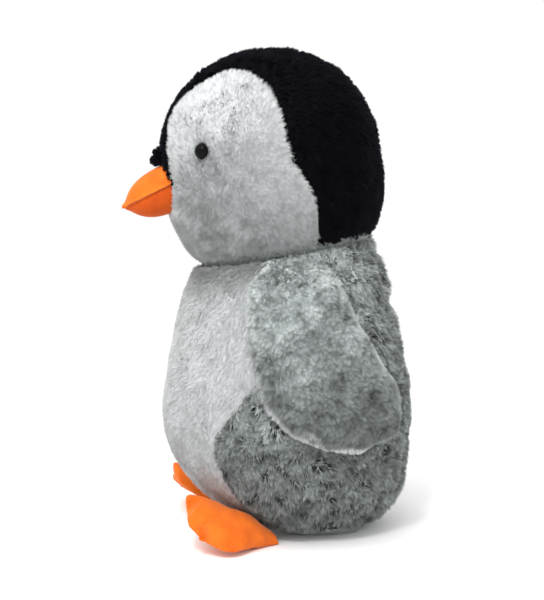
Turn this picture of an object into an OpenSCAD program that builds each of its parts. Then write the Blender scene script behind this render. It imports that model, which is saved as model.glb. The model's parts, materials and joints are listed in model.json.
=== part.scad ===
/* [Fabric] */
// Thickness of a fur panel, with its backing
fur_t = 4; // [3:0.5:6]
// Thickness of a short-pile panel, on beak, feet and flipper linings
velour_t = 2.5; // [2:0.5:4]
// Gap kept between a panel and the filling behind it
fill_gap = 0.5; // [0.4:0.1:1]

/* [Body] */
// Largest radius of the body
body_r = 128; // [116:1:134]
// Height at which the body is widest
belly_z = 122; // [112:1:130]
// Distance that the foot of the body is set back behind the neck
base_setback = 33; // [20:1:36]
// Height of the middle of the neck seam
neck_z = 295; // [285:1:300]
// Forward lean of the neck seam, in degrees
neck_lean = 10.5; // [6:0.5:12]
// Radius of the soft ball of filling in the neck
neck_ball_r = 48; // [40:1:50]

/* [Head] */
// Distance from the neck seam's middle to the head's middle
head_up = 92; // [88:1:96]
// Radius of the head, sideways and upward
head_r = 108; // [104:1:112]
// Radius of the head's lower half, downward
cheek_r = 116; // [110:1:120]
// Diameter of an eye
eye_d = 16; // [12:1:18]
// Angle of each eye from the middle of the face
eye_side = 45; // [36:1:48]
// Angle of each eye above the head's equator
eye_up = 9; // [2:1:12]

/* [Beak] */
// Half-width of the beak where it meets the face
beak_half_w = 25; // [20:1:30]
// Length of the beak from its corners to its tip
beak_l = 60; // [56:1:68]
// Height of the upper half over the seam
beak_top_h = 22; // [18:1:26]
// Depth of the lower half under the seam
beak_low_h = 27; // [18:1:30]

/* [Flippers] */
// Height of the seam that holds a flipper
flipper_top_z = 278; // [270:1:280]
// Length of a flipper down the body
flipper_l = 176; // [160:1:190]
// Thickness of a stuffed flipper
flipper_t = 24; // [18:1:28]

/* [Feet] */
// Distance of a foot's middle from the middle of the toy
foot_x = 58; // [52:1:64]
// Length of a foot from its hinge seam to its toe
foot_l = 90; // [80:1:100]
// Half-width of a foot at the toes
foot_half_w = 38; // [32:1:42]
// Thickness of a foot
foot_h = 31; // [26:1:34]
// Rise of a foot's inner toe over its outer toe
foot_curl = 44; // [10:1:46]
// Outward turn of a foot, in degrees
foot_splay = 26; // [18:1:28]

/* [Hidden] */

WHITE = "whitesmoke";
GREY = "darkgray";
BLACK = "#18181c";
ORANGE = "darkorange";
PALE = "lightgray";
FILL = "ivory";

FINE = 48;
SEAM_GAP = 0.4;
// Room for the flat facets of a panel over the filling behind it
BODY_ROOM = 3;
HEAD_ROOM = 2.4;
BODY_RINGS = 15;
PANEL_STEPS = 8;
NECK_GAP = 7;

function mix(a, b, t) = a + (b - a) * t;
function smooth(t) = t * t * (3 - 2 * t);
function clamp(t) = min(1, max(0, t));

// Two triangles for each four-cornered face
function split(quads) = [for (q = quads, half = [[0, 1, 2], [0, 2, 3]]) [for (k = half) q[k]]];
function turned(faces) = [for (f = faces) [f[2], f[1], f[0]]];
function moved(faces, by) = [for (f = faces) [for (k = f) k + by]];

// A thin closed panel between two faces, each a function of s and t from 0 to 1
module panel(ns, nt, outer, inner) {
    row = nt + 1;
    count = (ns + 1) * row;
    outside = [for (i = [0:ns], j = [0:nt]) outer(i / ns, j / nt)];
    inside = [for (i = [0:ns], j = [0:nt]) inner(i / ns, j / nt)];
    skin = split([for (i = [0:ns - 1], j = [0:nt - 1])
        [i * row + j, i * row + j + 1, (i + 1) * row + j + 1, (i + 1) * row + j]]);
    low_end = [for (j = [0:nt - 1]) [j + 1, j, j + count, j + 1 + count]];
    high_end = [for (j = [0:nt - 1]) let (k = ns * row + j) [k, k + 1, k + 1 + count, k + count]];
    first_side = [for (i = [0:ns - 1]) let (k = i * row) [k, k + row, k + row + count, k + count]];
    last_side = [for (i = [0:ns - 1]) let (k = i * row + nt) [k + row, k, k + count, k + row + count]];
    edges = split(concat(low_end, high_end, first_side, last_side));
    polyhedron(concat(outside, inside), concat(skin, moved(turned(skin), count), edges));
}

// A closed blob of nt-sided rings, each a function of s and t, closed flat at both ends
module rings(ns, nt, place) {
    points = [for (i = [0:ns], j = [0:nt - 1]) place(i / ns, j / nt)];
    walls = [for (i = [0:ns - 1], j = [0:nt - 1])
        let (k = (j + 1) % nt)
        [i * nt + j, i * nt + k, (i + 1) * nt + k, (i + 1) * nt + j]];
    first = [for (j = [nt - 1:-1:0]) j];
    last = [for (j = [0:nt - 1]) ns * nt + j];
    polyhedron(points, concat(split(walls), [first, last]));
}

// Body: round sections whose middles move back towards the ground
NECK_SLOPE = tan(neck_lean);
BODY_LOW_H = belly_z + 12;
BODY_HIGH_H = 400;
HIGH_POWER = 1.3;
TUCK_H = 25;
TUCK = 7;

function body_radius(z) = body_r * (z < belly_z
    ? sqrt(1 - pow((belly_z - z) / BODY_LOW_H, 2))
    : pow(1 - pow((z - belly_z) / BODY_HIGH_H, HIGH_POWER), 1 / HIGH_POWER));
function body_y(z) = base_setback * pow(clamp(1 - z / (belly_z + 10)), 2);
function body_top(a) = neck_z - NECK_GAP - body_radius(neck_z) * NECK_SLOPE * cos(a);
function body_tuck(z, a) = TUCK * pow(clamp(1 - (body_top(a) - z) / TUCK_H), 2);
function body_point(z, a, depth) =
    let (r = body_radius(z) - body_tuck(z, a) - depth)
    [r * sin(a), body_y(z) - r * cos(a), z];

// Half-angle of the white belly at height z: narrow below, widest at the chest
function belly_angle(z) = mix(45, 72, smooth(clamp((z - 100) / 85))) - 6 * clamp((z - 200) / 90);
function body_height(s, a) = body_top(a) * pow(s, 1.6);
function belly_edge(s) = belly_angle(body_height(s, 60));

module body_panel(from, to) {
    panel(BODY_RINGS, PANEL_STEPS,
        function(s, t) let (a = mix(from(s), to(s), t)) body_point(body_height(s, a), a, 0),
        function(s, t) let (a = mix(from(s), to(s), t), z = body_height(s, a)) body_point(z, a, fur_t));
}

// One seam's half width, as an angle round the body
SEAM_A = 0.12;

module belly_panel() {
    color(WHITE) body_panel(function(s) -belly_edge(s) + SEAM_A, function(s) belly_edge(s) - SEAM_A);
}

module side_panel_left() {
    color(GREY) body_panel(function(s) belly_edge(s) + SEAM_A, function(s) 180 - SEAM_A);
}

module side_panel_right() {
    color(GREY) mirror([1, 0, 0]) body_panel(function(s) belly_edge(s) + SEAM_A, function(s) 180 - SEAM_A);
}

BASE_R = body_radius(0) - fur_t - fill_gap;

module base_panel() {
    color(GREY) translate([0, base_setback, 0]) cylinder(h = fur_t, r = BASE_R, $fn = FINE);
}

BAG_R = 38;
BAG_Z = 46;
BAG_GAP = 1;
FILL_STEPS = 32;
FILL_TOP_DROP = 8;

module neck_socket() {
    translate([0, 0, neck_z]) sphere(r = neck_ball_r + fill_gap, $fn = FINE);
}

module body_filling() {
    low = fur_t + fill_gap;
    color(FILL) difference() {
        rings(BODY_RINGS, FILL_STEPS, function(s, t)
            let (a = 360 * t, z = mix(low, body_top(a) - FILL_TOP_DROP, pow(s, 1.4)))
            body_point(z, a, fur_t + fill_gap + BODY_ROOM));
        neck_socket();
        translate([0, base_setback, BAG_Z]) sphere(r = BAG_R + BAG_GAP, $fn = FINE);
    }
}

module pellet_bag() {
    color(PALE) translate([0, base_setback, BAG_Z]) sphere(r = BAG_R, $fn = FINE);
}

module neck_filling() {
    color(FILL) translate([0, 0, neck_z]) sphere(r = neck_ball_r, $fn = FINE);
}

// Head: drawn about its own middle with the neck's axis upright, then leaned forward
HEAD_RIM = -47;
UPPER_POWER = 2.1;
LOWER_POWER = 3;

module on_head() {
    translate([0, 0, neck_z]) rotate([neck_lean, 0, 0]) translate([0, 0, head_up]) children();
}

function head_radius(e) =
    let (n = e > 0 ? UPPER_POWER : LOWER_POWER, v = e > 0 ? head_r : cheek_r)
    pow(pow(cos(e) / (head_r + 2), n) + pow(abs(sin(e)) / v, n), -1 / n);
function head_point(a, e, depth) =
    (head_radius(e) - depth) * [cos(e) * sin(a), -cos(e) * cos(a), sin(e)];

// All head panels share rings of one spacing, so that their seams meet
RING_STEP = 7.2;
FACE_RINGS = 14;
STRIPE_FIRST = 6;
STRIPE_RINGS = 10;
CAP_RINGS = 19;
FACE_TOP = HEAD_RIM + FACE_RINGS * RING_STEP;
CROWN_TOP = FACE_TOP + 2 * RING_STEP;
STRIPE_LOW = HEAD_RIM + STRIPE_FIRST * RING_STEP;
BROW = 14;
PART = 34;
SIDE_ANGLE = 90;
CHEEK_ANGLE = 11;
STRIPE_WIDE = 18;
STRIPE_NARROW = 12;
TOP_ANGLE = 60;

// Angle from the middle of the face to the back edge of the white patch, at elevation e
function face_angle(e) = e < BROW
    ? SIDE_ANGLE + CHEEK_ANGLE * sin(120 * clamp((-2 - e) / 45))
    : mix(TOP_ANGLE, SIDE_ANGLE, sqrt(clamp(1 - pow((e - BROW) / (FACE_TOP - BROW), 2.6))));
// Half-angle of the black stripe down the forehead, which opens into the crown
function stripe_angle(e) = e < PART
    ? mix(STRIPE_WIDE, STRIPE_NARROW, smooth(clamp(e / PART)))
    : mix(STRIPE_NARROW, TOP_ANGLE, pow(clamp((e - PART) / (FACE_TOP - PART)), 1.8));
function crown_angle(e) = TOP_ANGLE * clamp((CROWN_TOP - e) / (CROWN_TOP - FACE_TOP));
function seam_angle(e) = 0.16 / cos(min(e, 80));

// A panel of whole rings, from ring first upward
module head_panel(first, count, steps, from, to) {
    low = HEAD_RIM + first * RING_STEP;
    panel(count, steps,
        function(s, t) let (e = low + count * RING_STEP * s) head_point(mix(from(e), to(e), t), e, 0),
        function(s, t) let (e = low + count * RING_STEP * s) head_point(mix(from(e), to(e), t), e, fur_t));
}

module cap_half() {
    on_head() head_panel(0, CAP_RINGS, PANEL_STEPS + 2,
        function(e) (e < FACE_TOP ? face_angle(e) : crown_angle(e)) + seam_angle(e),
        function(e) 180 - seam_angle(e));
}

module cap_left() {
    color(BLACK) cap_half();
}

module cap_right() {
    color(BLACK) mirror([1, 0, 0]) cap_half();
}

// Under the beak's root the two white patches meet at the middle
function face_inner(e) = mix(0, stripe_angle(e), smooth(clamp((e - STRIPE_LOW + RING_STEP) / RING_STEP))) + SEAM_A;

module face_half() {
    on_head() difference() {
        head_panel(0, FACE_RINGS, PANEL_STEPS + 2,
            function(e) min(face_inner(e), face_angle(e) - 3 * SEAM_A), function(e) face_angle(e) - 2 * SEAM_A);
        eye_shank(SHANK_CLEAR);
    }
}

module face_left() {
    color(WHITE) face_half();
}

module face_right() {
    color(WHITE) mirror([1, 0, 0]) face_half();
}

function stripe_edge(e) = max(SEAM_A, (e < FACE_TOP ? stripe_angle(e) : crown_angle(e)) - 2 * SEAM_A);

module forehead_stripe() {
    color(BLACK) on_head() head_panel(STRIPE_FIRST, STRIPE_RINGS, 6,
        function(e) -stripe_edge(e), function(e) stripe_edge(e));
}

// The head as a turned solid round the neck's axis, from elevation low to the crown
CROWN_STEP = 9;
module head_solid(low, grow) {
    rotate_extrude($fn = FINE) polygon(concat(
        [for (e = [low:CROWN_STEP:90 - CROWN_STEP / 2]) (head_radius(e) + grow) * [cos(e), sin(e)]],
        [[0, head_radius(90) + grow], [0, (head_radius(low) + grow) * sin(low)]]));
}

// A small tuft of black pile over the root of the beak
TUFT_E = 8.5;
TUFT_R = 12.5;
TUFT_LOW = 16.5;
TRIM_GAP = 0.6;

module nose_tuft() {
    color(BLACK) on_head() difference() {
        rotate([-TUFT_E, 0, 0]) translate([0, -head_r - 3, 0]) scale([1.1, 0.8, 1]) sphere(r = TUFT_R, $fn = FINE);
        head_solid(HEAD_RIM, TRIM_GAP);
        translate([0, -head_r, TUFT_LOW - 2 * TUFT_R]) cube(4 * TUFT_R, center = true);
    }
}

// Filling of the head: a turned solid round the neck's axis, hollow for the neck's ball
module head_filling() {
    depth = fur_t + fill_gap + HEAD_ROOM;
    low = HEAD_RIM + 3;
    color(FILL) on_head() difference() {
        head_solid(low, -depth);
        translate([0, 0, -head_up]) sphere(r = neck_ball_r + fill_gap, $fn = FINE);
        washer_pocket();
        mirror([1, 0, 0]) washer_pocket();
    }
}

// Eyes: a glossy dome with a shank through the panel and a locking washer behind it
SHANK_R = 2.4;
SHANK_CLEAR = 0.3;
SHANK_L = 12;
DOME_RISE = 6;
WASHER_R = 9;
WASHER_T = 2;
WASHER_ROOM = 1.4;
EYE_R = eye_d / 2;
DOME_R = (EYE_R * EYE_R + DOME_RISE * DOME_RISE) / (2 * DOME_RISE);

module at_eye() {
    rotate([0, 0, eye_side]) rotate([-eye_up, 0, 0]) translate([0, -head_radius(eye_up), 0]) rotate([90, 0, 0]) children();
}

module eye_shank(clearance) {
    at_eye() translate([0, 0, -SHANK_L]) cylinder(h = SHANK_L + 3, r = SHANK_R + clearance, $fn = FINE);
}

module eye() {
    on_head() {
        at_eye() intersection() {
            translate([0, 0, DOME_RISE - DOME_R + 0.6]) sphere(r = DOME_R, $fn = FINE);
            translate([0, 0, 0.6]) cylinder(h = DOME_RISE, r = EYE_R, $fn = FINE);
        }
        at_eye() translate([0, 0, -SHANK_L]) cylinder(h = SHANK_L + 0.6, r = SHANK_R, $fn = FINE);
    }
}

module washer() {
    on_head() at_eye() translate([0, 0, -fur_t - WASHER_ROOM - WASHER_T]) difference() {
        cylinder(h = WASHER_T, r = WASHER_R, $fn = FINE);
        translate([0, 0, -1]) cylinder(h = WASHER_T + 2, r = SHANK_R + 0.05, $fn = FINE);
    }
}

module washer_pocket() {
    at_eye() translate([0, 0, -SHANK_L - 1]) cylinder(h = SHANK_L + 1, r = WASHER_R + 0.6, $fn = FINE);
}

module eye_left() {
    color(BLACK) eye();
}

module eye_right() {
    color(BLACK) mirror([1, 0, 0]) eye();
}

module eye_washer_left() {
    color(PALE) washer();
}

module eye_washer_right() {
    color(PALE) mirror([1, 0, 0]) washer();
}

// Beak: two halves that meet at a raised side seam and run to a point
BEAK_DROOP = 16;
BEAK_OUT = 99;
BEAK_Z = -6;
BEAK_RINGS = 10;
BEAK_FILL_SHARE = 0.95;

module at_beak() {
    translate([0, -BEAK_OUT, BEAK_Z]) rotate([BEAK_DROOP, 0, 0]) children();
}

// Section of the beak at s from root to tip, turned by angle t, inset by depth
function beak_point(s, turn, high, low, depth) =
    let (
        fade = pow(1 - pow(s, 2.6), 0.6),
        w = max(0.6, (beak_half_w - depth) * fade),
        h = max(0.6, ((sin(turn) >= 0 ? high : low) - depth) * pow(1 - pow(s, 3.4), 0.75)),
        y = -s * (beak_l - 2 * depth)
    )
    [w * cos(turn), y, h * sin(turn)];

function beak_half(s, turn, sign, depth) =
    beak_point(s, sign * turn, beak_top_h, beak_low_h, depth) + [0, 0, sign * SEAM_GAP / 2];

// The whole beak, inset by depth, from its root to share of its length
module beak_solid(depth, share) {
    rings(BEAK_RINGS, 24, function(s, t) beak_point(s * share, -360 * t, beak_top_h, beak_low_h, depth));
}

module beak_shell(sign) {
    on_head() difference() {
        at_beak() panel(BEAK_RINGS, 14,
            function(s, t) beak_half(s, sign > 0 ? 180 * t : 180 - 180 * t, sign, 0),
            function(s, t) beak_half(s, sign > 0 ? 180 * t : 180 - 180 * t, sign, velour_t));
        head_solid(HEAD_RIM, TRIM_GAP);
    }
}

module beak_upper() {
    color(ORANGE) beak_shell(1);
}

module beak_lower() {
    color(ORANGE) beak_shell(-1);
}

module beak_filling() {
    color(FILL) on_head() difference() {
        at_beak() beak_solid(velour_t + fill_gap, BEAK_FILL_SHARE);
        head_solid(HEAD_RIM, TRIM_GAP);
    }
}

// Flippers: pads that lie on the body, wide at the lower end
FLIPPER_CLEAR = 2.2;
FLIPPER_LOW_Z = flipper_top_z - flipper_l;

function flipper_middle(s) = mix(85, 108, pow(smooth(s), 1.3));
function flipper_spread(s) = mix(23.5, 33, pow(smooth(clamp(s * 1.2)), 1.5))
    * sqrt(clamp(1 - pow(clamp((s - 0.6) / 0.4), 2.6)))
    * mix(0.62, 1, sqrt(clamp(s / 0.12)));
function flipper_swell(s, v) =
    pow(clamp(1 - pow(abs(v), 2.4)), 0.5) * pow(clamp(1 - pow(2 * s - 1, 4)), 0.5);
function flipper_point(s, v, rise) =
    let (
        a = flipper_middle(s) + max(1, flipper_spread(s)) * v,
        z = mix(flipper_top_z, FLIPPER_LOW_Z, s),
        zb = min(z, body_top(a) - 2)
    )
    body_point(zb, a, -FLIPPER_CLEAR - rise) + [0, 0, z - zb];

// The lining lies against the body and the cover swells outward from it
function flipper_outer(s, v) = velour_t + 1.5 + (flipper_t - velour_t - 1.5) * flipper_swell(s, v);

module flipper_cover() {
    color(GREY) panel(12, 12,
        function(s, t) flipper_point(s, 1 - 2 * t, flipper_outer(s, 1 - 2 * t)),
        function(s, t) flipper_point(s, (1 - 2 * t) * 0.97, max(velour_t + 0.4, flipper_outer(s, 1 - 2 * t) - fur_t)));
}

module flipper_lining() {
    color(PALE) panel(12, 8,
        function(s, t) flipper_point(s, 1 - 2 * t, velour_t),
        function(s, t) flipper_point(s, 1 - 2 * t, 0));
}

module flipper_filling() {
    color(FILL) panel(12, 8,
        function(s, t) flipper_fill(s, 1 - 2 * t, 1),
        function(s, t) flipper_fill(s, 1 - 2 * t, 0));
}

function flipper_fill(s, v, side) =
    let (
        s2 = mix(0.06, 0.9, s),
        v2 = v * 0.8,
        low = velour_t + fill_gap,
        high = flipper_outer(s2, v2) - fur_t - 2.5
    )
    flipper_point(s2, v2, side == 1 ? max(low + 1, high) : low);

module flipper_left_cover() {
    flipper_cover();
}

module flipper_left_lining() {
    flipper_lining();
}

module flipper_left_filling() {
    flipper_filling();
}

module flipper_right_cover() {
    mirror([1, 0, 0]) flipper_cover();
}

module flipper_right_lining() {
    mirror([1, 0, 0]) flipper_lining();
}

module flipper_right_filling() {
    mirror([1, 0, 0]) flipper_filling();
}

// Feet: flat-soled pads with three toes, sewn on under the front of the body
FOOT_Y = -30;
FOOT_SEAM_H = 9;
FOOT_FLEX = 0.26;
TOE_DEPTH = 0.05;
TOE_RISE = 7;

module at_foot() {
    translate([foot_x, FOOT_Y, 0]) rotate([0, 0, foot_splay]) children();
}

// Outline of the foot: s runs from the hinge seam to the toe, v across it
function foot_width(s) = mix(26, foot_half_w, smooth(clamp(s * 1.3)))
    * sqrt(clamp(1 - pow(clamp((s - 0.7) / 0.3), 2.4)));
function foot_reach(s, v, inset) = (foot_l - 2 * inset) * s * (1 + TOE_DEPTH * s * s * cos(540 * v));
function foot_point(s, v, z, inset) =
    [max(2, foot_width(s) - inset) * v, -inset - foot_reach(s, v, inset), z];
// Height of the sole: flat behind, curling up to the toes and most to the inner one
function foot_low(s, v) = let (p = foot_point(s, v, 0, 0))
    pow(-p[1] / foot_l, 1.6) * (TOE_RISE + foot_curl * pow(clamp((1 - p[0] / foot_half_w) / 2), 1.3));

// Height of the body's underside over a point of the foot, found by halving
function body_under(x, y, low = 0, high = belly_z, tries = 12) =
    let (middle = (low + high) / 2)
    tries == 0 ? low
    : norm([x, y - body_y(middle)]) < body_radius(middle) ? body_under(x, y, low, middle, tries - 1)
    : body_under(x, y, middle, high, tries - 1);
function on_floor(p) =
    [foot_x + p[0] * cos(foot_splay) - p[1] * sin(foot_splay), FOOT_Y + p[0] * sin(foot_splay) + p[1] * cos(foot_splay)];
function foot_room(p) = let (q = on_floor(p)) body_under(q[0], q[1]) - 1.5 + FOOT_FLEX * p[1];
function foot_rise(s, v) =
    mix(FOOT_SEAM_H, foot_h - velour_t, smooth(clamp(s * 2.6)))
    * pow(clamp(1 - pow(abs(v), 2.6)), 0.45) * pow(clamp(1 - pow(s, 5)), 0.4);
function foot_base(s, v) = foot_low(s, v) + velour_t + SEAM_GAP;
function foot_top(s, v) =
    let (low = foot_base(s, v), p = foot_point(s, v, 0, 0))
    max(low + velour_t + 0.6, min(low + foot_rise(s, v), foot_room(p)));

module foot_upper() {
    color(ORANGE) panel(12, 12,
        function(s, t) let (v = 2 * t - 1)
            foot_point(s, v, abs(v) == 1 || s == 1 ? foot_base(s, v) + 1 : foot_top(s, v), 0),
        function(s, t) let (v = 2 * t - 1)
            foot_point(s, v, max(foot_base(s, v), foot_top(s, v) - velour_t - 0.6), velour_t));
}

module foot_sole() {
    color(ORANGE) panel(12, 12,
        function(s, t) let (v = 2 * t - 1) foot_point(s, v, foot_low(s, v) + velour_t, 0),
        function(s, t) let (v = 2 * t - 1) foot_point(s, v, foot_low(s, v), 0));
}

module foot_filling() {
    color(FILL) panel(10, 8,
        function(s, t) foot_fill(s, 2 * t - 1, 1),
        function(s, t) foot_fill(s, 2 * t - 1, 0));
}

function foot_fill(s, v, side) =
    let (
        s2 = mix(0.08, 0.88, s),
        v2 = v * 0.8,
        low = foot_base(s2, v2) + fill_gap + 0.6,
        high = foot_top(s2, v2) - velour_t - 3
    )
    foot_point(s2, v2, side == 1 ? max(low + 0.8, high) : low, velour_t + 1);

module foot_left_upper() {
    at_foot() foot_upper();
}

module foot_left_sole() {
    at_foot() foot_sole();
}

module foot_left_filling() {
    at_foot() foot_filling();
}

module foot_right_upper() {
    mirror([1, 0, 0]) at_foot() foot_upper();
}

module foot_right_sole() {
    mirror([1, 0, 0]) at_foot() foot_sole();
}

module foot_right_filling() {
    mirror([1, 0, 0]) at_foot() foot_filling();
}

belly_panel();
side_panel_left();
side_panel_right();
base_panel();
body_filling();
pellet_bag();
neck_filling();
cap_left();
cap_right();
forehead_stripe();
nose_tuft();
face_left();
face_right();
head_filling();
eye_left();
eye_right();
eye_washer_left();
eye_washer_right();
beak_upper();
beak_lower();
beak_filling();
flipper_left_cover();
flipper_left_lining();
flipper_left_filling();
flipper_right_cover();
flipper_right_lining();
flipper_right_filling();
foot_left_upper();
foot_left_sole();
foot_left_filling();
foot_right_upper();
foot_right_sole();
foot_right_filling();
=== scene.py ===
"""Plush penguin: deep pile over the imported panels, velour beak and feet, glossy eyes."""
import itertools
import json
import math

import bmesh
import bpy
import numpy as np
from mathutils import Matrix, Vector
from mathutils.bvhtree import BVHTree
from mathutils.kdtree import KDTree


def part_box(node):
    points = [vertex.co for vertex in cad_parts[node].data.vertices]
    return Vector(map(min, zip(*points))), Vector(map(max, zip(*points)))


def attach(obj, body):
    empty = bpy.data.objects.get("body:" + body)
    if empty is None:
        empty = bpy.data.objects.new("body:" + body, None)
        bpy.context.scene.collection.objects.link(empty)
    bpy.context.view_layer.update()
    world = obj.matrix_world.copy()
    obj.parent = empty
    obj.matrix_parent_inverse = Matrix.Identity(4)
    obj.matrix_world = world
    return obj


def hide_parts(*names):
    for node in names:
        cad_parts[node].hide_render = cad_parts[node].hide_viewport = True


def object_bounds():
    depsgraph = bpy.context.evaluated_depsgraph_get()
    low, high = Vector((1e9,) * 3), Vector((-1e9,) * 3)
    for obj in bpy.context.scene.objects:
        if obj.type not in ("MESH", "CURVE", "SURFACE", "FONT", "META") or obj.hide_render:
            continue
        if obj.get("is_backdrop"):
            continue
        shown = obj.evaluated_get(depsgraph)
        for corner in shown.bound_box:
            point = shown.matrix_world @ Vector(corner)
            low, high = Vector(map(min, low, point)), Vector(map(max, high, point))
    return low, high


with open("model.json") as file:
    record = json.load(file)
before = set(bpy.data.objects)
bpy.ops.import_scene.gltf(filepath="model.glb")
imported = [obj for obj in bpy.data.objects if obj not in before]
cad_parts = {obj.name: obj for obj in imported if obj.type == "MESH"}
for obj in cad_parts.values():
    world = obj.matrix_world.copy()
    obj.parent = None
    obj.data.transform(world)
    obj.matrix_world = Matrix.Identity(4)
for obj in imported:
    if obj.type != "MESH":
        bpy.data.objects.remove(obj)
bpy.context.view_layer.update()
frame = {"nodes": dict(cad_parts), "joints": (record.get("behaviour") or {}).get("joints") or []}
MM = 0.001

# ---------------------------------------------------------------- places from the frame

NODES = frame["nodes"]
JOINTS = {j["name"]: j for j in frame["joints"]}
NECK = np.array(JOINTS["head_turn"]["pos_m"])
NECK_AXIS = np.array(JOINTS["head_turn"]["axis"])
NECK_AXIS = NECK_AXIS / np.linalg.norm(NECK_AXIS)


def box_of(*names):
    """Lowest and highest corner of some CAD nodes together."""
    boxes = [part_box(n) for n in names]
    low = np.min([np.array(b[0]) for b in boxes], axis=0)
    high = np.max([np.array(b[1]) for b in boxes], axis=0)
    return low, high


def middle_of(*names):
    """The middle of the box round some CAD nodes."""
    low, high = box_of(*names)
    return (low + high) / 2


HEAD_LOW, HEAD_HIGH = box_of("cap_left", "cap_right", "face_left", "face_right")
BODY_LOW, BODY_HIGH = box_of("side_panel_left", "side_panel_right", "belly_panel")
HEAD_WIDE = HEAD_HIGH[0] - HEAD_LOW[0]
HEAD_MIDDLE = np.array([0.0, (HEAD_LOW[1] + HEAD_HIGH[1]) / 2, HEAD_HIGH[2] - HEAD_WIDE / 2])
BODY_MIDDLE = np.array([0.0, (BODY_LOW[1] + BODY_HIGH[1]) / 2, 0.5 * BODY_HIGH[2]])
BEAK_MIDDLE = middle_of("beak_upper", "beak_lower")
EYE_TOP = 4 * MM


def eye_dome(node):
    """The middle of an eye's dome: the part of the eye furthest out from the head."""
    points = read(NODES[node].data)[0]
    out = unit(points.mean(axis=0) - HEAD_MIDDLE)
    reach = points @ out
    return points[reach > reach.max() - EYE_TOP].mean(axis=0)


def add_object(name, data):
    """A new object in the scene."""
    made = bpy.data.objects.new(name, data)
    bpy.context.scene.collection.objects.link(made)
    return made


# ---------------------------------------------------------------- smooth random fields

LATTICE = 32


class Field:
    """Smooth random vectors in space, from a seeded lattice that repeats."""

    def __init__(self, seed):
        rng = np.random.default_rng(seed)
        self.lattice = rng.uniform(-1, 1, (LATTICE, LATTICE, LATTICE, 3))

    def __call__(self, points, scale):
        p = points / scale + LATTICE
        cell = np.floor(p).astype(int)
        f = p - cell
        f = f * f * (3 - 2 * f)
        out = np.zeros((len(points), 3))
        for corner in itertools.product((0, 1), repeat=3):
            i = (cell + corner) % LATTICE
            w = np.prod(np.where(corner, f, 1 - f), axis=1)
            out += self.lattice[i[:, 0], i[:, 1], i[:, 2]] * w[:, None]
        return out


DENTS = Field(11)
SWIRLS = Field(23)
SHADES = Field(37)


def unit(v):
    """Each vector at length 1."""
    return v / np.maximum(np.linalg.norm(v, axis=-1, keepdims=True), 1e-9)


def tangent(v, normals):
    """The part of v along the surface."""
    return v - normals * np.sum(v * normals, axis=1, keepdims=True)


def bump(distance, reach):
    """1 at distance 0, falling smoothly to 0 past the reach."""
    return np.exp(-((distance / reach) ** 2))


# ---------------------------------------------------------------- materials


def socket(shader, name, value):
    """Set a constant on one of the shader's own sockets."""
    shader.inputs[name].default_value = value


def new_material(name):
    """A material, its node tree and its shader."""
    mat = bpy.data.materials.new(name)
    mat.use_nodes = True
    return mat, mat.node_tree, mat.node_tree.nodes["Principled BSDF"]


def noise_node(tree, scale, detail):
    """A noise texture of so many grains to the metre."""
    noise = tree.nodes.new("ShaderNodeTexNoise")
    noise.inputs["Scale"].default_value = scale
    noise.inputs["Detail"].default_value = detail
    return noise


def math_node(tree, operation, factor):
    """A sum or product whose second input is a constant."""
    node = tree.nodes.new("ShaderNodeMath")
    node.operation = operation
    node.inputs[1].default_value = factor
    return node


def ramp_node(tree, deep, bright, start=0.0, end=1.0):
    """A blend from a deep shade to a bright one."""
    ramp = tree.nodes.new("ShaderNodeValToRGB")
    for stop, colour, place in zip(ramp.color_ramp.elements, (deep, bright), (start, end)):
        stop.position = place
        stop.color = (*colour, 1)
    return ramp


def pile_material(name, roughness=0.9, sheen=0.3, sheen_tint=(1, 1, 1), specular=0.15):
    """Pile fibres: the colour of each fibre, with a fine streak along it."""
    mat, tree, shader = new_material(name)
    socket(shader, "Roughness", roughness)
    socket(shader, "Specular IOR Level", specular)
    socket(shader, "Sheen Weight", sheen)
    socket(shader, "Sheen Roughness", 0.5)
    socket(shader, "Sheen Tint", (*sheen_tint, 1))
    tint = tree.nodes.new("ShaderNodeAttribute")
    tint.attribute_name = "tint"
    noise = noise_node(tree, 900, 2)
    ramp = tree.nodes.new("ShaderNodeMapRange")
    ramp.inputs["To Min"].default_value = 0.86
    ramp.inputs["To Max"].default_value = 1.12
    scale = tree.nodes.new("ShaderNodeVectorMath")
    scale.operation = "SCALE"
    tree.links.new(noise.outputs["Fac"], ramp.inputs["Value"])
    tree.links.new(tint.outputs["Color"], scale.inputs[0])
    tree.links.new(ramp.outputs["Result"], scale.inputs["Scale"])
    tree.links.new(scale.outputs["Vector"], shader.inputs["Base Color"])
    return mat


def velour_material(name, deep, bright):
    """Short napped cloth: a fine grain with soft brushed patches."""
    mat, tree, shader = new_material(name)
    socket(shader, "Roughness", 0.85)
    socket(shader, "Specular IOR Level", 0.2)
    socket(shader, "Sheen Weight", 0.25)
    socket(shader, "Sheen Roughness", 0.4)
    socket(shader, "Sheen Tint", (1.0, 0.75, 0.5, 1))
    coords = tree.nodes.new("ShaderNodeTexCoord")
    grain = noise_node(tree, 1400, 3)
    patches = noise_node(tree, 60, 4)
    blend = math_node(tree, "MULTIPLY_ADD", 0.45)
    half = math_node(tree, "MULTIPLY", 0.55)
    ramp = ramp_node(tree, deep, bright, 0.32, 0.68)
    relief = tree.nodes.new("ShaderNodeBump")
    relief.inputs["Strength"].default_value = 0.35
    relief.inputs["Distance"].default_value = 0.0006
    for node in (grain, patches):
        tree.links.new(coords.outputs["Object"], node.inputs["Vector"])
    tree.links.new(patches.outputs["Fac"], half.inputs[0])
    tree.links.new(grain.outputs["Fac"], blend.inputs[0])
    tree.links.new(half.outputs["Value"], blend.inputs[2])
    tree.links.new(blend.outputs["Value"], ramp.inputs["Fac"])
    tree.links.new(ramp.outputs["Color"], shader.inputs["Base Color"])
    tree.links.new(grain.outputs["Fac"], relief.inputs["Height"])
    tree.links.new(relief.outputs["Normal"], shader.inputs["Normal"])
    return mat


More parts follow.
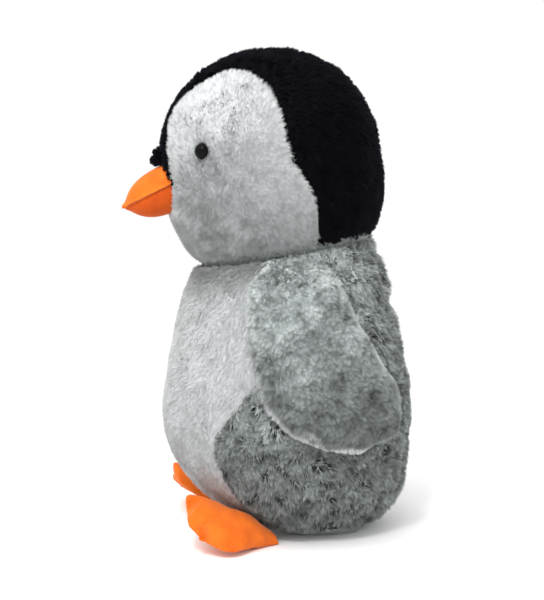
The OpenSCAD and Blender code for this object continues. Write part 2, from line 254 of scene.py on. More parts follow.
def plain_material(name, deep, bright, scale, roughness, specular=0.5):
    """A colour that drifts a little between two shades."""
    mat, tree, shader = new_material(name)
    socket(shader, "Roughness", roughness)
    socket(shader, "Specular IOR Level", specular)
    coords = tree.nodes.new("ShaderNodeTexCoord")
    noise = noise_node(tree, scale, 4)
    ramp = ramp_node(tree, deep, bright)
    tree.links.new(coords.outputs["Object"], noise.inputs["Vector"])
    tree.links.new(noise.outputs["Fac"], ramp.inputs["Fac"])
    tree.links.new(ramp.outputs["Color"], shader.inputs["Base Color"])
    return mat


WHITE_PILE = pile_material("white_pile")
GREY_PILE = pile_material("grey_pile", sheen_tint=(0.92, 1.0, 0.97))
BLACK_PILE = pile_material(
    "black_pile", roughness=0.8, sheen=0.02, sheen_tint=(0.7, 0.75, 1.0), specular=0.06
)
ORANGE_VELOUR = velour_material("orange_velour", (0.60, 0.095, 0.005), (0.82, 0.175, 0.014))
# A darker copy of the orange velour: painted shade for the lower half of the beak.
ORANGE_PAINTED_SHADE = velour_material("orange_velour_painted_shade", (0.40, 0.045, 0.002), (0.56, 0.085, 0.005))
FIBRE_FILL = plain_material("fibre_fill", (0.75, 0.75, 0.72), (0.9, 0.9, 0.88), 300, 0.95)
BAG_COTTON = plain_material("bag_cotton", (0.55, 0.52, 0.45), (0.7, 0.67, 0.6), 500, 0.9)
EYE_GLOSS = plain_material("eye_gloss", (0.003, 0.003, 0.004), (0.006, 0.005, 0.005), 60, 0.06, 0.05)
WASHER_NYLON = plain_material("washer_nylon", (0.7, 0.7, 0.66), (0.82, 0.82, 0.78), 200, 0.45)

WHITE = np.array([0.74, 0.76, 0.765])
GREY = np.array([0.37, 0.40, 0.395])
BLACK = np.array([0.0025, 0.0025, 0.004])

# ---------------------------------------------------------------- skins

RIM_ANGLE = math.radians(40)
FLAT_ANGLE = math.radians(30)
SQUARE_ANGLE = math.radians(60)
WELD = 0.02 * MM


def joined_nodes(nodes):
    """The CAD nodes as one welded bmesh."""
    bm = bmesh.new()
    for node in nodes:
        bm.from_mesh(NODES[node].data)
    bmesh.ops.remove_doubles(bm, verts=bm.verts, dist=WELD)
    return bm


def evaluated_mesh(piece):
    """What the modifiers make of a piece."""
    return bpy.data.meshes.new_from_object(piece.evaluated_get(bpy.context.evaluated_depsgraph_get()))


def fine_mesh(nodes, level):
    """The CAD nodes' shape as one finer mesh whose rims stay crisp."""
    bm = joined_nodes(nodes)
    bmesh.ops.join_triangles(
        bm, faces=bm.faces, angle_face_threshold=FLAT_ANGLE, angle_shape_threshold=SQUARE_ANGLE
    )
    crease = bm.edges.layers.float.new("crease_edge")
    for edge in bm.edges:
        if len(edge.link_faces) == 2 and edge.calc_face_angle(0) > RIM_ANGLE:
            edge[crease] = 1
    mesh = bpy.data.meshes.new("fine")
    bm.to_mesh(mesh)
    bm.free()
    holder = add_object("fine", mesh)
    smoother = holder.modifiers.new("fine", "SUBSURF")
    smoother.levels = smoother.render_levels = level
    out = evaluated_mesh(holder)
    bpy.data.objects.remove(holder)
    bpy.data.meshes.remove(mesh)
    return out


def read(mesh):
    """Points, vertex normals and triangles of a mesh, and each triangle's normal at twice its area."""
    mesh.calc_loop_triangles()
    count = len(mesh.vertices)
    points = np.empty(count * 3)
    mesh.vertices.foreach_get("co", points)
    points = points.reshape(-1, 3)
    normals = np.empty(count * 3)
    mesh.vertex_normals.foreach_get("vector", normals)
    tris = np.empty(len(mesh.loop_triangles) * 3, int)
    mesh.loop_triangles.foreach_get("vertices", tris)
    tris = tris.reshape(-1, 3)
    first, second, third = (points[tris[:, k]] for k in range(3))
    return points, normals.reshape(-1, 3), tris, np.cross(second - first, third - first)


def rim_distance(points, rim):
    """How far each point is from the nearest rim point."""
    tree = KDTree(int(rim.sum()))
    for n, p in enumerate(points[rim]):
        tree.insert(p, n)
    tree.balance()
    return np.array([tree.find(p)[2] for p in points])


OUTER_FACING = 0.25
GROWN_FACING = 0.15
RIM_FADE = 5 * MM
SKIN_PAINTED_SHADE = 0.8


def facing(cross, tris, points, middle):
    """How squarely each triangle faces away from the middle: 1 is straight out."""
    return np.sum(unit(cross) * unit(points[tris].mean(axis=1) - middle), axis=1)


class Skin:
    """A panel's outer face, dented like crushed pile, ready to carry fibres."""

    def __init__(self, name, nodes, body, material, level, middle, tint, lift=1.5 * MM, dent=0.0, shape=None):
        self.name = name
        self.body = body
        mesh = fine_mesh(nodes, level)
        points, normals, tris, cross = read(mesh)
        faced = facing(cross, tris, points, middle) > OUTER_FACING
        outside = np.ones(len(points), bool)
        outside[tris[~faced].ravel()] = False
        touched = np.zeros(len(points), bool)
        touched[tris[faced].ravel()] = True
        rim = touched & ~outside
        distance = np.where(touched, rim_distance(points, rim), 0.0)
        away = 1 - bump(distance, RIM_FADE)
        clumps = DENTS(points, 16 * MM)[:, 0] + 0.35 * DENTS(points, 8 * MM)[:, 1]
        moved = np.where(outside, away * (lift + dent * clumps), 0.0)
        if shape is not None:
            moved = moved + np.where(touched, shape(points), 0.0)
        points = points + normals * moved[:, None]
        mesh.vertices.foreach_set("co", points.ravel())
        mesh.update()
        mesh.shade_smooth()
        colours = np.ones((len(points), 4))
        # The skin between the fibres is darkened by a factor: painted shade where the fibres shadow it.
        colours[:, :3] = tint(points, distance) * SKIN_PAINTED_SHADE
        layer = mesh.attributes.new("tint", "FLOAT_COLOR", "POINT")
        layer.data.foreach_set("color", colours.ravel())
        mesh.materials.append(material)
        self.piece = add_object(name, mesh)
        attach(self.piece, body)
        self.points, self.normals, self.tris, self.cross = read(mesh)
        grown = facing(self.cross, self.tris, self.points, middle) > GROWN_FACING
        self.keep = touched[self.tris].all(axis=1) & grown
        self.distance = distance
        self.tint = tint


RAY_DEPTH = 12 * MM
RAY_REACH = 60 * MM


def under_beak(points, normals):
    """True where a ray from under the skin, straight out, meets the beak."""
    bm = bmesh.new()
    for node in ("beak_upper", "beak_lower"):
        bm.from_mesh(NODES[node].data)
    tree = BVHTree.FromBMesh(bm)
    bm.free()
    hits = (tree.ray_cast(Vector(p - n * RAY_DEPTH), Vector(n), RAY_REACH) for p, n in zip(points, normals))
    return np.array([hit[0] is not None for hit in hits])


SIDES = 3
FACES = [(k, (k + 1) % SIDES, SIDES) for k in range(SIDES)] + [(2, 1, 0)]
MAP_SPOTS = np.array([(0.1, 0.1), (0.9, 0.1), (0.5, 0.5), (0.5, 0.9)])
TIP_PAINTED_LIGHT = 1.06
ACROSS = np.array([0.31, 0.87, 0.38])
SOFTEN = 0.14


def spike_mesh(name, roots, normals, tips, radius, colours, deep):
    """Closed three-sided spikes, each with a square of the map of its own."""
    count, per = len(roots), SIDES + 1
    along = unit(tips - roots)
    side = unit(np.cross(along, ACROSS))
    other = np.cross(along, side)
    ring = []
    for k in range(SIDES):
        a = 2 * math.pi * k / SIDES
        ring.append(roots + (math.cos(a) * side + math.sin(a) * other) * radius[:, None])
    points = np.stack(ring + [tips], axis=1)
    pattern = np.array([i for face in FACES for i in face])
    loops = (np.arange(count)[:, None] * per + pattern[None, :]).ravel()
    mesh = bpy.data.meshes.new(name)
    mesh.vertices.add(count * per)
    mesh.vertices.foreach_set("co", points.ravel())
    mesh.loops.add(len(loops))
    mesh.loops.foreach_set("vertex_index", loops)
    mesh.polygons.add(len(loops) // 3)
    mesh.polygons.foreach_set("loop_start", np.arange(0, len(loops), 3))
    mesh.polygons.foreach_set("use_smooth", np.ones(len(loops) // 3, bool))
    grid = math.ceil(math.sqrt(count))
    cell = np.stack([np.arange(count) % grid, np.arange(count) // grid], axis=1)
    uv = (cell[:, None, :] + MAP_SPOTS[pattern][None, :, :]) / grid
    mesh.uv_layers.new(name="OFBake").uv.foreach_set("vector", uv.ravel())
    # Painted shade darkens each fibre's root by deep, and painted light brightens its tip.
    shade = np.array([deep] * SIDES + [TIP_PAINTED_LIGHT])
    tint = np.ones((count, per, 4))
    tint[:, :, :3] = colours[:, None, :] * shade[None, :, None]
    mesh.attributes.new("tint", "FLOAT_COLOR", "POINT").data.foreach_set("color", tint.ravel())
    mesh.update()
    core = roots + (tips - roots) * 0.3
    soft = unit(normals[:, None, :] + SOFTEN * unit(points - core[:, None, :]))
    mesh.normals_split_custom_set_from_vertices(soft.reshape(-1, 3).tolist())
    return mesh


def nearest(points, centres):
    """Which centre each point is nearest to, and how far off it is."""
    tree = KDTree(len(centres))
    for n, p in enumerate(centres):
        tree.insert(p, n)
    tree.balance()
    found = [tree.find(p) for p in points]
    return np.array([f[1] for f in found]), np.array([f[2] for f in found])


ROOT_DEPTH = 0.4 * MM
LENGTH_SPREAD = (0.75, 1.1)
THICK_SPREAD = (0.8, 1.2)
STRAY = 0.25
LOCK_DOME = 0.12
SHADE_SPREAD = 0.05
MOTTLE_SIZE = 8 * MM


def grow(
    skin, count, seed, length, radius, lean, curl, swirl, comb, lock, gather, groove_painted_shade,
    mottle=0.1, deep=0.8, hide=None, short=None,
):
    """Fibres over a skin, drawn together in locks.

    comb gives their lie, hide drops some and short shortens some. lean and curl bend them, in swirls of a
    given size. groove paints shade into the gaps between locks and light onto their middles, mottle drifts
    the colour in soft random patches, and deep paints shade on the roots.
    """
    rng = np.random.default_rng(seed)
    tris = skin.tris[skin.keep]
    area = np.linalg.norm(skin.cross[skin.keep], axis=1)
    pick = tris[np.searchsorted(np.cumsum(area) / area.sum(), rng.random(count) * 0.999999)]
    u, v = rng.random(count), rng.random(count)
    flip = u + v > 1
    u, v = np.where(flip, 1 - u, u), np.where(flip, 1 - v, v)
    w = np.stack([1 - u - v, u, v], axis=1)[:, :, None]
    roots = (skin.points[pick] * w).sum(axis=1)
    normals = unit((skin.normals[pick] * w).sum(axis=1))
    distance = (skin.distance[pick] * w[:, :, 0]).sum(axis=1)
    stay = np.ones(count, bool) if hide is None else ~hide(roots, normals)
    roots, normals, distance = roots[stay], normals[stay], distance[stay]
    count = len(roots)
    size = length * rng.uniform(*LENGTH_SPREAD, count)
    if short is not None:
        size = size * short(roots)
    flow = unit(tangent(comb(roots), normals))
    wild = tangent(SWIRLS(roots, swirl) + 0.5 * SWIRLS(roots + 1, swirl * 0.5), normals)
    stray = tangent(rng.uniform(-1, 1, (count, 3)), normals)
    tips = roots + unit(normals + lean * flow + curl * wild + STRAY * stray) * size[:, None]
    locks = max(1, int(area.sum() / 2 / lock**2))
    owner, off = nearest(roots, roots[:locks])
    off = np.clip(off / lock, 0, 1)
    pull = gather * np.clip(2 * off, 0, 1)
    rise = LOCK_DOME * length * (0.5 - off)
    tips = tips + (tips[owner] - tips) * pull[:, None] + normals * rise[:, None]
    patch = mottle * SHADES(roots, MOTTLE_SIZE)[:, 0]
    # Painted shade: fibres darker towards the edge of their lock and lighter at its middle, besides a random
    # spread and random soft patches.
    shade = 1 + SHADE_SPREAD * rng.uniform(-1, 1, count) + patch - groove_painted_shade * (off - 0.35)
    colours = np.clip(skin.tint(roots, distance) * shade[:, None], 0, 1)
    thick = radius * rng.uniform(*THICK_SPREAD, count)
    name = skin.name + "_pile"
    mesh = spike_mesh(name, roots - normals * ROOT_DEPTH, normals, tips, thick, colours, deep)
    mesh.materials.append(skin.piece.data.materials[0])
    pile = add_object(name, mesh)
    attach(pile, skin.body)
    return pile


def plush(name, nodes, body, skin, fibres):
    """One furry panel: its skin stands for the CAD nodes, and its fibres grow from it."""
    made = Skin(name, nodes, body, **skin)
    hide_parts(*nodes)
    pile = grow(made, **fibres)


# ---------------------------------------------------------------- body

DOWN = np.array([0.0, 0.0, -1.0])


def comb_down(points):
    """Pile that hangs."""
    return np.tile(DOWN, (len(points), 1))


FOLD_DROP = 68 * MM
FOLD_WIDTH = 9 * MM
FOLD_DEPTH = 5 * MM
CHIN_SEAM = 9 * MM
CHIN_SHADE = 22 * MM


def fade(value, start, over):
    """0 up to the start, then rising evenly to 1 over a stretch."""
    return np.clip((value - start) / over, 0, 1)


def body_shape(points):
    """The fold that runs round the back, under the shoulders."""
    height = points[:, 2] - (BODY_HIGH[2] - FOLD_DROP)
    back = fade(points[:, 1], -20 * MM, 60 * MM)
    return -FOLD_DEPTH * back * bump(height, FOLD_WIDTH)


def belly_tint(points, distance):
    """White, with painted shade where the chest tucks in under the chin."""
    below = -(points - NECK) @ NECK_AXIS
    chin = bump(np.maximum(below - CHIN_SEAM, 0), CHIN_SHADE)
    return WHITE[None, :] * (0.84 - 0.46 * chin)[:, None]


def grey_tint(points, distance):
    """Grey with painted light high up and painted shade towards the ground, drifting in soft random patches.
    """
    low = np.clip(1 - points[:, 2] / BODY_HIGH[2], 0, 1)
    patch = 1 + 0.3 * SHADES(points, 20 * MM)[:, 1]
    return GREY[None, :] * (patch * (1.3 - 0.65 * low))[:, None]


def black_tint(points, distance):
    """Even black."""
    return np.tile(BLACK, (len(points), 1))


GROUND_PILE = 12 * MM


def hide_ground(points, normals):
    """Pile that would be pressed flat under the toy is left out."""
    return (points[:, 2] < GROUND_PILE) & (normals[:, 2] < -0.5)


# In these fibre settings, deep paints shade on the roots and the groove setting paints shade into the gaps
# between locks.
GREY_FIBRES = dict(
    length=6.5 * MM, radius=0.42 * MM, lean=0.6, curl=1.1, swirl=12 * MM, comb=comb_down,
    lock=5 * MM, gather=0.45, groove_painted_shade=1.4, mottle=0.6, deep=0.38,
)
WHITE_FIBRES = dict(
    length=5.5 * MM, radius=0.36 * MM, lean=0.8, curl=0.45, swirl=14 * MM,
    lock=3.5 * MM, gather=0.35, groove_painted_shade=0.3, mottle=0.09, deep=0.86,
)
BLACK_FIBRES = dict(
    length=5.5 * MM, radius=0.5 * MM, lean=0.8, curl=0.9, swirl=9 * MM,
    lock=4 * MM, gather=0.6, groove_painted_shade=0.5,
)

GREY_SKIN = dict(material=GREY_PILE, level=3)
WHITE_SKIN = dict(material=WHITE_PILE, level=3)
BLACK_SKIN = dict(material=BLACK_PILE, tint=black_tint)

plush(
    "belly_plush", ["belly_panel"], "body",
    dict(WHITE_SKIN, middle=BODY_MIDDLE, tint=belly_tint, dent=0.9 * MM),
    dict(WHITE_FIBRES, count=49000, seed=101, comb=comb_down, hide=hide_ground),
)
for number, side in enumerate(("left", "right")):
    plush(
        "side_plush_" + side, ["side_panel_" + side], "body",
        dict(GREY_SKIN, middle=BODY_MIDDLE, tint=grey_tint, dent=3.4 * MM, shape=body_shape),
        dict(GREY_FIBRES, count=46000, seed=111 + number, hide=hide_ground),
    )
BASE_MIDDLE = middle_of("base_panel") + np.array([0, 0, 18 * MM])
base = Skin("base_plush", ["base_panel"], "body", middle=BASE_MIDDLE, tint=grey_tint, lift=0, **GREY_SKIN)
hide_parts("base_panel")

# ---------------------------------------------------------------- head

EYES = {side: eye_dome("eye_" + side) for side in ("left", "right")}
EYE_HOLLOW = 13 * MM
EYE_CLEAR = 7.6 * MM


def eye_distance(points):
    """How far each point is from the nearer eye."""
    return np.min([np.linalg.norm(points - EYES[s], axis=1) for s in EYES], axis=0)


def face_shape(points):
    """A shallow hollow round each eye, and crumpled pile low on the cheeks."""
    low = fade(HEAD_MIDDLE[2] - points[:, 2], 0, 50 * MM)
    hollow = 4.5 * MM * bump(eye_distance(points), EYE_HOLLOW)
    return 1.8 * MM * low * DENTS(points, 14 * MM)[:, 1] - hollow


def face_tint(points, distance):
    """White with painted shade on the underside of the cheeks and in the hollow round each eye."""
    low = fade(HEAD_MIDDLE[2] - points[:, 2], 30 * MM, 55 * MM)
    eye = bump(eye_distance(points), EYE_HOLLOW)
    return WHITE[None, :] * (0.96 - 0.37 * low - 0.45 * eye)[:, None]


EYE_PARTING = 14 * MM


def comb_face(points):
    """Pile that runs back from the beak, swirling down over the cheeks, and away from the eyes."""
    back = unit(points - BEAK_MIDDLE)
    eye = np.where(points[:, :1] > 0, EYES["left"], EYES["right"])
    away = (points - eye) * (1.5 * bump(eye_distance(points), EYE_PARTING) / EYE_PARTING)[:, None]
    fall = fade(BEAK_MIDDLE[2] - points[:, 2], -20 * MM, 60 * MM)
    return back + (DOWN + 1.6 * SWIRLS(points, 11 * MM)) * fall[:, None] + away


def comb_cap(points):
    """Pile that runs back over the head and down."""
    return unit(points - HEAD_MIDDLE + np.array([0, 80 * MM, 0])) + DOWN * 0.6


def hide_face(points, normals):
    """No pile grows through an eye or under the beak."""
    return (eye_distance(points) < EYE_CLEAR) | under_beak(points, normals)


def short_face(points):
    """Shorter pile round each eye."""
    return 1 - 0.4 * bump(eye_distance(points), EYE_HOLLOW)


for number, side in enumerate(("left", "right")):
    plush(
        "face_plush_" + side, ["face_" + side], "head",
        dict(WHITE_SKIN, middle=HEAD_MIDDLE, tint=face_tint, dent=0.5 * MM, shape=face_shape),
        dict(
            WHITE_FIBRES, count=49000, seed=121 + number, comb=comb_face, hide=hide_face, short=short_face,
            lean=0.55, curl=0.15, gather=0.25,
        ),
    )
    plush(
        "cap_plush_" + side, ["cap_" + side], "head",
        dict(BLACK_SKIN, level=3, middle=HEAD_MIDDLE, dent=1.2 * MM),
        dict(BLACK_FIBRES, count=34000, seed=131 + number, comb=comb_cap),
    )
plush(
    "stripe_plush", ["forehead_stripe"], "head",
    dict(BLACK_SKIN, level=3, middle=HEAD_MIDDLE, dent=1.0 * MM),
    dict(BLACK_FIBRES, count=14000, seed=141, comb=comb_cap, hide=under_beak),
)
TUFT_ROOT = middle_of("nose_tuft") + np.array([0, 8 * MM, 0])
plush(
    "nose_plush", ["nose_tuft"], "head",
    dict(BLACK_SKIN, level=2, middle=TUFT_ROOT, lift=0.5 * MM, dent=0.5 * MM),
    dict(BLACK_FIBRES, count=2200, seed=142, comb=comb_down, length=4.5 * MM),
)

# ---------------------------------------------------------------- flippers

RIM_WIDTH = 10 * MM
LINING_EDGE = 14 * MM


def flipper_tint(low, high):
    """Grey with painted light high up and painted shade downwards, and the white lining turned over the lower
    rim.
    """
    def tint(points, distance):
        down = (high - points[:, 2]) / (high - low)
        grey = grey_tint(points, distance) * (1.85 - 1.2 * np.clip(down, 0, 1))[:, None]
        rim = fade(RIM_WIDTH - distance, 0, 2 * MM) * fade(down, 0.45, 0.12)
        return grey * (1 - rim)[:, None] + WHITE[None, :] * 0.92 * rim[:, None]
    return tint


def lining_tint(low, high):
    """White, but grey where the cover's pile turns over the edge above the lower rim."""
    def tint(points, distance):
        up = (points[:, 2] - low) / (high - low)
        edge = fade(LINING_EDGE - distance, 0, 4 * MM) * fade(up, 0.4, 0.12)
        return WHITE[None, :] * (1 - edge)[:, None] + grey_tint(points, distance) * edge[:, None]
    return tint


for number, side in enumerate(("left", "right")):
    cover, lining = "flipper_%s_cover" % side, "flipper_%s_lining" % side
    low, high = box_of(cover)
    inner = np.array([0.0, (low[1] + high[1]) / 2, (low[2] + high[2]) / 2])
    plush(
        "flipper_plush_" + side, [cover], "flipper_" + side,
        dict(GREY_SKIN, middle=inner, tint=flipper_tint(low[2], high[2]), dent=2.0 * MM),
        dict(
            GREY_FIBRES, count=46000, seed=151 + number, length=5.5 * MM, curl=0.6,
            lock=3.5 * MM, gather=0.25, groove_painted_shade=0.65, mottle=0.35, deep=0.55,
        ),
    )
    outer = np.array([3.0 * (low[0] + high[0]) / 2, inner[1], inner[2]])
    plush(
        "lining_plush_" + side, [lining], "flipper_" + side,
        dict(WHITE_SKIN, middle=outer, tint=lining_tint(low[2], high[2]), lift=0.3 * MM, dent=0.3 * MM),
        dict(WHITE_FIBRES, count=12000, seed=161 + number, comb=comb_down, length=3.5 * MM, lean=1.5),
    )

# ---------------------------------------------------------------- beak and feet

VOXEL = 3 * MM
SMOOTH_PASSES = 5
THICKEN = 2 * MM
DRAW_IN = 0.4 * MM
PRESSURE = 4.0
CLOTH_FRAMES = 20
CLOTH_CAP = 4 * MM


def voxel_piece(name, nodes):
    """The CAD nodes as one even skin of small quads, drawn in a little before it swells.

    The thin shells are thickened first, so that no voxel finds a hole in them.
    """
    bm = joined_nodes(nodes)
    bm.normal_update()
    for vert in bm.verts:
        vert.co += vert.normal * THICKEN
    mesh = bpy.data.meshes.new(name)
    bm.to_mesh(mesh)
    bm.free()
    piece = add_object(name, mesh)
    remesh = piece.modifiers.new("remesh", "REMESH")
    remesh.mode = "VOXEL"
    remesh.voxel_size = VOXEL
    smooth = piece.modifiers.new("smooth", "SMOOTH")
    smooth.factor = 0.5
    smooth.iterations = SMOOTH_PASSES
    apply_modifiers(piece)
    keep_outside(piece.data)
    points, normals = read(piece.data)[:2]
    piece.data.vertices.foreach_set("co", (points - normals * (THICKEN + DRAW_IN)).ravel())
    return piece


def width(verts):
    """How far some vertices reach from side to side."""
    return max(v.co.x for v in verts) - min(v.co.x for v in verts)


def keep_outside(mesh):
    """Drop the inner skin of a hollow form, and keep the widest."""
    bm = bmesh.new()
    bm.from_mesh(mesh)
    left = set(bm.verts)
    islands = []
    while left:
        island, front = [], [left.pop()]
        while front:
            vert = front.pop()
            island.append(vert)
            for edge in vert.link_edges:
                other = edge.other_vert(vert)
                if other in left:
                    left.remove(other)
                    front.append(other)
        islands.append(island)
    widest = max(islands, key=width)
    inner = [vert for island in islands if island is not widest for vert in island]
    bmesh.ops.delete(bm, geom=inner, context="VERTS")
    bm.to_mesh(mesh)
    bm.free()


def apply_modifiers(piece):
    """Keep what the modifiers make as the piece's own mesh."""
    made = evaluated_mesh(piece)
    old = piece.data
    piece.modifiers.clear()
    piece.data = made
    bpy.data.meshes.remove(old)


def stuff(piece):
    """Swell a closed skin by cloth simulation, and keep the result within the cap."""
    before = read(piece.data)[0]
    cloth = piece.modifiers.new("cloth", "CLOTH")
    cloth.settings.use_pressure = True
    cloth.settings.uniform_pressure_force = PRESSURE
    cloth.settings.effector_weights.gravity = 0
    cloth.settings.tension_stiffness = 10
    cloth.settings.bending_stiffness = 0.3
    cloth.settings.quality = 6
    cloth.collision_settings.use_collision = False
    for number in range(1, CLOTH_FRAMES + 1):
        bpy.context.scene.frame_set(number)
    apply_modifiers(piece)
    bpy.context.scene.frame_set(1)
    after = read(piece.data)[0]
    step = after - before
    far = np.linalg.norm(step, axis=1)
    scale = CLOTH_CAP * np.tanh(far / CLOTH_CAP) / np.maximum(far, 1e-9)
    piece.data.vertices.foreach_set("co", (before + step * scale[:, None]).ravel())
    piece.data.update()


def velour_piece(piece, nodes, body, shape, material=ORANGE_VELOUR):
    """A stuffed velour form, given its last shape, that stands for some CAD nodes."""
    points, normals = read(piece.data)[:2]
    piece.data.vertices.foreach_set("co", shape(points, normals).ravel())
    piece.data.update()
    piece.data.shade_smooth()
    piece.data.materials.clear()
    piece.data.materials.append(material)
    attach(piece, body)
    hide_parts(*nodes)


def beak_frame():
    """The tip of the beak and the normal of the plane of its side seams."""
    points = np.vstack([read(NODES[n].data)[0] for n in ("beak_upper", "beak_lower")])
    tip = points[points[:, 1] < points[:, 1].min() + 0.5 * MM].mean(axis=0)
    left = points[np.argmax(points[:, 0])]
    right = left * np.array([-1, 1, 1])
    return tip, unit(np.cross(left - tip, right - tip))


BEAK_TIP, SEAM_NORMAL = beak_frame()
SEAM_RIDGE = 2.2 * MM
SEAM_DIP = 0.9 * MM
SEAM_WIDTH = 1.6 * MM
TIP_SWELL = 2 * MM
TIP_REACH = 5 * MM


def beak_shape(points, normals):
    """A ridge rolled up along the side seams, over a shallow dip, and a small round nub at the tip."""
    off = (points - BEAK_TIP) @ SEAM_NORMAL
    ridge = SEAM_RIDGE * bump(off - SEAM_WIDTH / 2, SEAM_WIDTH)
    ridge = ridge - SEAM_DIP * bump(off + SEAM_WIDTH, SEAM_WIDTH)
    outward = normals - (normals @ SEAM_NORMAL)[:, None] * SEAM_NORMAL
    tip = TIP_SWELL * bump(np.linalg.norm(points - BEAK_TIP, axis=1), TIP_REACH)
    return points + outward * ridge[:, None] + normals * tip[:, None]


TOE_CREASES = (-13 * MM, 13 * MM)
CREASE_WIDTH = 3 * MM
CREASE_DEPTH = 3 * MM
WRINKLE_SIZE = 12 * MM
WRINKLE_DEPTH = 0.8 * MM


def foot_shape(side):
    """Two stitched creases that part the toes, and small wrinkles all over."""
    joint = JOINTS["foot_%s_flex" % side]
    hinge = np.array(joint["pos_m"])
    across = np.array(joint["axis"]) * (-1 if joint["axis"][0] < 0 else 1)
    ahead = np.cross(np.array([0, 0, 1.0]), across)
    ahead = ahead * (-1 if ahead[1] > 0 else 1)

    def shape(points, normals):
        lateral, reach = (points - hinge) @ across, (points - hinge) @ ahead
        toes = fade(reach / reach.max(), 0.72, 0.2)
        crease = sum(bump(lateral - place, CREASE_WIDTH) for place in TOE_CREASES)
        upward = fade(normals[:, 2], -0.4, 1)
        wrinkle = WRINKLE_DEPTH * DENTS(points, WRINKLE_SIZE)[:, 2]
        return points + normals * (wrinkle - CREASE_DEPTH * toes * crease * upward)[:, None]

    return shape


# The lower half of the beak takes the darker velour, painted shade.
for half, material in (("upper", ORANGE_VELOUR), ("lower", ORANGE_PAINTED_SHADE)):
    piece = add_object("beak_plush_" + half, fine_mesh(["beak_" + half], 3))
    velour_piece(piece, ["beak_" + half], "head", beak_shape, material)
for side in ("left", "right"):
    nodes = ["foot_%s_upper" % side, "foot_%s_sole" % side]
    piece = voxel_piece("foot_plush_" + side, nodes)
    stuff(piece)
    piece.modifiers.new("fine", "SUBSURF").levels = 2
    apply_modifiers(piece)
    velour_piece(piece, nodes, "foot_" + side, foot_shape(side))

# ---------------------------------------------------------------- carried-over CAD nodes


def finish_node(node, material):
    """Give a CAD node that stays as it is its own material."""
    slots = NODES[node].data.materials
    slots.clear()
    slots.append(material)


for node in NODES:
    if "filling" in node:
        finish_node(node, FIBRE_FILL)
for side in ("left", "right"):
    finish_node("eye_" + side, EYE_GLOSS)
    finish_node("eye_washer_" + side, WASHER_NYLON)
finish_node("pellet_bag", BAG_COTTON)

# ---------------------------------------------------------------- neck seam, in painted shade

NECK_RING_R = 79 * MM
NECK_TUBE_R = 10 * MM
NECK_STEPS = 96
TUBE_STEPS = 12
NECK_PAINTED_SHADE = 0.4


def neck_ring():
    """A soft rolled seam that fills the fold between head and body, painted dark as the shade in that fold.
    """
    bm = bmesh.new()
    axis = Vector(NECK_AXIS)
    side = Vector((1, 0, 0))
    front = axis.cross(side)
    rows = []
    for i in range(NECK_STEPS):
        a = 2 * math.pi * i / NECK_STEPS
        out = side * math.cos(a) + front * math.sin(a)
        centre = Vector(NECK) + out * NECK_RING_R
        rows.append([
            bm.verts.new(centre + (out * math.cos(b) + axis * math.sin(b)) * NECK_TUBE_R)
            for b in (2 * math.pi * k / TUBE_STEPS for k in range(TUBE_STEPS))
        ])
    for i, k in itertools.product(range(NECK_STEPS), range(TUBE_STEPS)):
        j, m = (i + 1) % NECK_STEPS, (k + 1) % TUBE_STEPS
        bm.faces.new((rows[i][k], rows[j][k], rows[j][m], rows[i][m]))
    bmesh.ops.recalc_face_normals(bm, faces=bm.faces)
    mesh = bpy.data.meshes.new("neck_seam_painted_shade")
    bm.to_mesh(mesh)
    bm.free()
    mesh.shade_smooth()
    tint = np.ones((len(mesh.vertices), 4))
    # Painted shade: the seam is darkened to stand for the shade in the fold.
    tint[:, :3] = GREY * NECK_PAINTED_SHADE
    mesh.attributes.new("tint", "FLOAT_COLOR", "POINT").data.foreach_set("color", tint.ravel())
    mesh.materials.append(GREY_PILE)
    piece = add_object("neck_seam_painted_shade", mesh)
    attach(piece, "neck")


neck_ring()

# ---------------------------------------------------------------- camera, lights and floor

CAMERA_AZIMUTH = math.radians(80)
CAMERA_RISE = math.radians(4.0)
CAMERA_DISTANCE = 1.2
CAMERA_AIM = Vector((0, 0, 0.25))
SENSOR_WIDTH = 36
LENS = 68.52
SHIFT_X, SHIFT_Y = -0.0233, -0.02


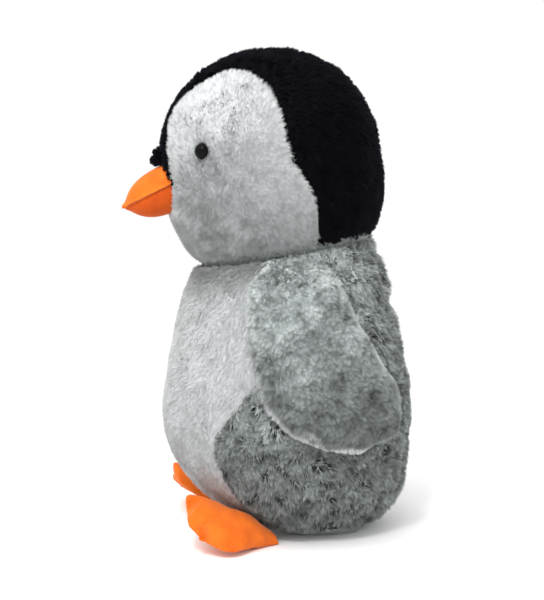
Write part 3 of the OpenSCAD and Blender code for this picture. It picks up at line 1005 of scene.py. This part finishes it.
def polar(azimuth, rise):
    """The direction out from the toy: azimuth 0 is its front, 90 degrees its left."""
    across = math.cos(rise)
    return Vector((math.sin(azimuth) * across, -math.cos(azimuth) * across, math.sin(rise)))


def add_camera():
    """The camera a little in front of the toy's left side, and a little above its middle."""
    data = bpy.data.cameras.new("camera")
    data.sensor_width = SENSOR_WIDTH
    data.lens = LENS
    data.shift_x, data.shift_y = SHIFT_X, SHIFT_Y
    camera = add_object("camera", data)
    back = polar(CAMERA_AZIMUTH, CAMERA_RISE)
    camera.location = CAMERA_AIM + back * CAMERA_DISTANCE
    camera.rotation_euler = (-back).to_track_quat("-Z", "Y").to_euler()
    bpy.context.scene.camera = camera


def add_light(name, azimuth, rise, distance, size, power):
    """A round area light that faces the toy."""
    data = bpy.data.lights.new(name, "AREA")
    data.shape = "DISK"
    data.size = size
    data.energy = power
    light = add_object(name, data)
    direction = polar(math.radians(azimuth), math.radians(rise))
    light.location = CAMERA_AIM + direction * distance
    light.rotation_euler = (-direction).to_track_quat("-Z", "Y").to_euler()


FLOOR_HALF = 8
FLOOR_WHITE = 0.97
WORLD_STRENGTH = 1.04


def add_floor():
    """A plain pale floor."""
    bm = bmesh.new()
    bmesh.ops.create_grid(bm, x_segments=1, y_segments=1, size=FLOOR_HALF)
    mesh = bpy.data.meshes.new("floor")
    bm.to_mesh(mesh)
    bm.free()
    mat, _, shader = new_material("floor_white")
    socket(shader, "Base Color", (FLOOR_WHITE, FLOOR_WHITE, FLOOR_WHITE, 1))
    socket(shader, "Roughness", 0.9)
    mesh.materials.append(mat)
    add_object("floor", mesh)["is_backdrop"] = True


def add_world():
    """Even white light from all round."""
    world = bpy.data.worlds.new("studio")
    world.use_nodes = True
    background = world.node_tree.nodes["Background"]
    background.inputs["Color"].default_value = (1, 1, 1, 1)
    background.inputs["Strength"].default_value = WORLD_STRENGTH
    bpy.context.scene.world = world


add_camera()
add_light("key", azimuth=48, rise=55, distance=2.2, size=2.0, power=31)
add_light("spark", azimuth=68, rise=42, distance=1.6, size=0.2, power=9)
add_floor()
add_world()
bpy.context.scene.view_settings.view_transform = "Standard"

low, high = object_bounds()
